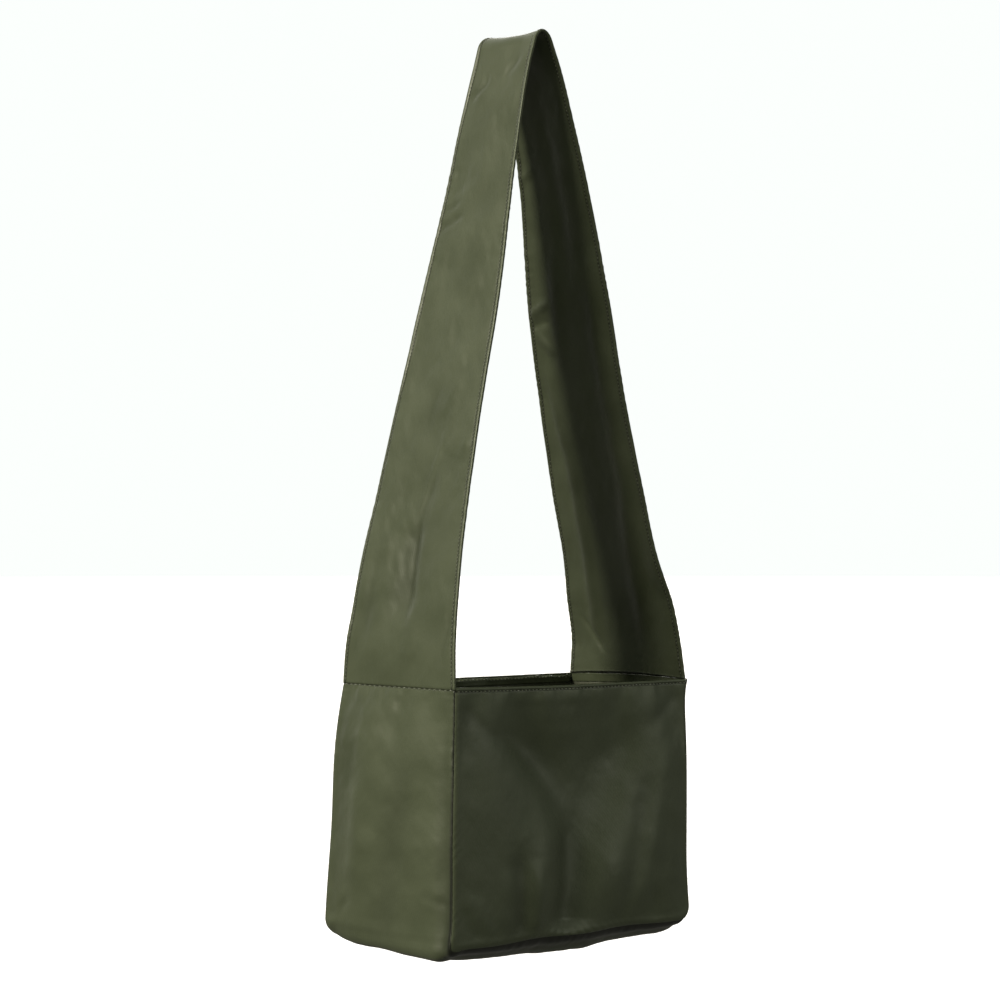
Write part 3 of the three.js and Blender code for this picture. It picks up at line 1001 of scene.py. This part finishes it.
def build_pocket(back_face):
    """A slip pocket on the back lining: sewn at the sides and the bottom, a little open above."""
    down = np.linspace(POCKET_TOP, POCKET_TOP + POCKET_HEIGHT, 80)
    x = np.linspace(-1, 1, 90) * POCKET_HALF_WIDTH
    drop, across = over_grid(down, x)
    place, out = places_on(back_face, *panel_point(drop, across))
    share = across / POCKET_HALF_WIDTH
    open_top = fading(drop - POCKET_TOP, 28 * MM) * (1 - share ** 2) * 4.5 * MM
    sewn = np.minimum(POCKET_HALF_WIDTH - np.abs(across), POCKET_TOP + POCKET_HEIGHT - drop)
    puff = 0.9 * MM * (1 - fading(sewn, 7 * MM)) + puckers(sewn, drop + across, 91, 0.25 * MM)
    hem = -0.25 * MM * bump(drop, POCKET_TOP + POCKET_HEM, 0.8 * MM)
    depth = SHELL + CLEAR + LINING + CLEAR + POCKET_CLOTH + open_top + puff + hem
    grid = (place - out * depth[..., None])[:, ::-1]
    flat = on_cloth(across, drop)[:, ::-1]
    piece = cloth("pocket_cloth", grid, POCKET_CLOTH, flat, 0 * drop, LINING_CLOTH)
    finish_piece(piece, "bag", "inner_pocket")
    build_pocket_stitches(grid, down, x[::-1])


def build_pocket_stitches(grid, down, x):
    """One row of stitches down, along and up the pocket, and one along its hem."""
    side = POCKET_HALF_WIDTH - POCKET_STITCH
    low = POCKET_TOP + POCKET_HEIGHT - POCKET_STITCH
    top, hem = POCKET_TOP + 1 * MM, POCKET_TOP + POCKET_HEM
    round_sides = [(-side, top), (-side, low), (side, low), (side, top)]
    along_hem = [(-side + 2 * MM, hem), (side - 2 * MM, hem)]
    lines = []
    for path in (np.array(round_sides), np.array(along_hem)):
        length = distance_along(path)
        at = np.linspace(0, length[-1], 500)
        across, drop = at_distance(at, length, path).T
        row = np.interp(drop, down, np.arange(len(down)))
        column = np.interp(-across, -x, np.arange(len(x)))
        lines.append(places_on(grid, row, column))
    piece = stitches("pocket_stitches", lines, FINE_STITCH, THREAD)
    finish_piece(piece, "bag", "pocket_stitching")


SNAP_DEPTH = 26 * MM
# Half sections of the two snap halves: (distance from the axis, height over the lining), mm.
SOCKET = [(0, 0.1), (7.6, 0.1), (8, 0.4), (8, 1.7), (7.7, 2.2), (7.0, 2.45), (6.2, 2.5), (5.9, 2.3),
          (5.6, 2.25), (5.2, 2.6), (4.6, 2.95), (3.9, 3.0), (3.4, 2.8), (3.2, 2.4), (3.1, 1.8),
          (2.8, 1.62), (0, 1.6)]
STUD = [(0, 0.1), (7.6, 0.1), (8, 0.4), (8, 1.4), (7.7, 1.9), (7.1, 2.1), (4.6, 2.3), (3.6, 2.4),
        (3.05, 2.6), (2.9, 3.0), (2.85, 3.3), (2.6, 3.55), (2.1, 3.7), (0, 3.75)]
SNAP_SIDES = 64


def build_snap(name, profile, face, node_name):
    """One half of the magnetic snap, turned about the lining's own normal."""
    row, column = panel_point(np.array([SNAP_DEPTH]), np.array([0.0]))
    place, out = places_on(face, row, column)
    axis = -out[0]
    centre = place[0] + axis * (SHELL + CLEAR + LINING)
    side = unit(np.cross(axis, [0, 0, 1]))
    up = np.cross(side, axis)
    turn = np.linspace(0, 2 * math.pi, SNAP_SIDES, endpoint=False)
    ring = np.cos(turn)[:, None] * side + np.sin(turn)[:, None] * up
    points = [centre + axis * profile[0][1] * MM, centre + axis * profile[-1][1] * MM]
    points += [centre + ring[k] * r * MM + axis * h * MM
               for r, h in profile[1:-1] for k in range(SNAP_SIDES)]
    top = len(points) - SNAP_SIDES
    faces = []
    for k in range(SNAP_SIDES):
        after = (k + 1) % SNAP_SIDES
        faces.append([0, 2 + k, 2 + after])
        faces += [[low + k, low + SNAP_SIDES + k, low + SNAP_SIDES + after, low + after]
                  for low in range(2, top, SNAP_SIDES)]
        faces.append([top + k, 1, top + after])
    piece = new_mesh(name, np.array(points), faces, material=NICKEL)
    finish_piece(piece, "bag", node_name)


def build_rim_stitches(front_face, back_face):
    """The front's and the back's row along the rim, seen outside and on the facing."""
    x = np.linspace(-1, 1, 400) * (MOUTH_HALF_WIDTH - 2.5 * MM)
    at = panel_point(np.full(400, RIM_STITCH), x)
    for name, face in (("front", front_face), ("back", back_face)):
        line, up = places_on(face, *at)
        behind = line - up * (SHELL + CLEAR + FACING)
        piece = stitches(name + "_rim_stitches", [(line, up), (behind, -up)], RIM_TOPSTITCH, THREAD)
        finish_piece(piece, "bag", name + "_rim_stitching")


def build_seam_stitches(gusset_face):
    """The rows across the gusset's two ends, where the strap is sewn on."""
    along = gusset_lines()[0]
    total = along[-1]
    at = np.linspace(3, gusset_face.shape[1] - 4, 200)
    for name, distance in (("left", SEAM_STITCH), ("right", total - SEAM_STITCH)):
        row = np.interp(distance, along, np.arange(len(along)))
        line = places_on(gusset_face, np.full(200, row), at)
        piece = stitches(name + "_strap_seam_stitches", [line], STRAP_SEAM_STITCH, THREAD)
        finish_piece(piece, "bag", name + "_strap_seam_stitching")


def build_strap():
    """The strap's two layers, sewn along both edges."""
    outer, inner, flat, edge, painted_shade = strap_layers()
    outer_piece = cloth("strap_outer_satin", outer, STRAP_LAYER, flat, painted_shade, SATIN)
    inner_piece = cloth("strap_inner_satin", inner[:, ::-1], STRAP_LAYER,
                        flat[:, ::-1], painted_shade[:, ::-1], SATIN)
    finish_piece(outer_piece, "strap", "strap_outer")
    finish_piece(inner_piece, "strap", "strap_inner")
    build_strap_stitches(outer, inner, edge)


def build_strap_stitches(outer, inner, edge):
    """A row near each edge of the strap, seen on both layers."""
    rows = np.arange(3, outer.shape[0] - 4, 1.0)
    columns = edge.shape[1]
    middle = columns // 2
    front, back = [], []
    for row in rows.astype(int):
        front.append(np.interp(STRAP_STITCH, edge[row, :middle], np.arange(middle)))
        back.append(np.interp(-STRAP_STITCH, -edge[row, middle:], np.arange(middle, columns)))
    for name, at in (("front", np.array(front)), ("back", np.array(back))):
        inner_line, into_strap = places_on(inner, rows, at)
        lines = [places_on(outer, rows, at), (inner_line, -into_strap)]
        piece = stitches("strap_" + name + "_edge_stitches", lines, FINE_STITCH, THREAD)
        finish_piece(piece, "strap", "strap_" + name + "_edge_stitching")


# ---- stage ----

def look(thing, towards):
    """Turns a camera or a light to look along a direction."""
    thing.rotation_mode = "QUATERNION"
    thing.rotation_quaternion = (-towards).to_track_quat("Z", "Y")


def build_camera():
    """The camera stands in front and to the left, level with the mouth and far away."""
    azimuth, elevation = math.radians(-41.0), math.radians(-0.15)
    distance = 2.431
    aim = Vector((-0.0097, 0.0081, -0.3635))
    back = Vector((math.sin(azimuth) * math.cos(elevation),
                   -math.cos(azimuth) * math.cos(elevation), math.sin(elevation)))
    data = bpy.data.cameras.new("camera")
    data.lens = 111.9
    data.sensor_width = 36
    camera = add_object("camera", data)
    camera.location = aim + back * distance
    look(camera, -back)
    SCENE.camera = camera


# Each light: the way its rays travel, its strength, its size in degrees and its colour.
LIGHTS = {
    "key": ((0.86, 0.10, -0.40), 1.0, 9, (1, 0.92, 0.83)),
    "key_behind": ((0.86, -0.15, -0.45), 3.0, 9, (1, 0.93, 0.84)),
    "fill_left": ((0.60, 0.70, -0.40), 0.28, 40, (1, 0.99, 0.84)),
    "fill_front": ((-0.50, 0.83, -0.30), 0.48, 34, (1, 0.98, 0.94)),
    "fill_right": ((-0.78, -0.50, -0.38), 2.0, 40, (1, 0.97, 0.92)),
    "fill_top": ((0.05, 0.05, -1.00), 0.6, 40, (1, 0.98, 0.94)),
    "fill_back": ((-0.20, -0.90, -0.38), 1.0, 50, (1, 0.97, 0.92)),
}


def build_light(name, towards, energy, angle, colour):
    data = bpy.data.lights.new(name, "SUN")
    assign(data, energy=energy, color=colour, angle=math.radians(angle))
    look(add_object(name, data), Vector(towards))


def by_ray(tree, to_purse, to_camera):
    """One value for the camera's own rays and another for all the rest."""
    seen = node(tree, "LightPath", output="Is Camera Ray")
    return node(tree, "MapRange", {"Value": seen, "To Min": to_purse, "To Max": to_camera})


def build_stage():
    """A pale floor, a white room, two small suns from the left and soft ones all round. The
    floor and the room are bright to the camera and dim to the purse."""
    bpy.ops.mesh.primitive_circle_add(vertices=96, radius=40, fill_type="NGON",
                                      location=(0, 0, BASE_Z - 0.6))
    floor = bpy.context.active_object
    floor.name = "floor"
    material, tree, shader = new_material("pale_floor")
    connect(shader, {"Base Color": by_ray(tree, 0.08, 0.9), "Emission Color": (1, 1, 1, 1),
                     "Emission Strength": by_ray(tree, 0.0, 0.32), "Roughness": 0.9})
    floor.data.materials.append(material)
    for name, light in LIGHTS.items():
        build_light(name, *light)
    world = bpy.data.worlds.new("room")
    world.use_nodes = True
    background = world.node_tree.nodes["Background"]
    strength = by_ray(world.node_tree, 0.13, 1.0)
    connect(background, {"Color": (0.97, 1, 0.98, 1), "Strength": strength})
    SCENE.world = world
    SCENE.view_settings.view_transform = "Standard"


build_camera()
build_stage()
build_shell()
build_strap()
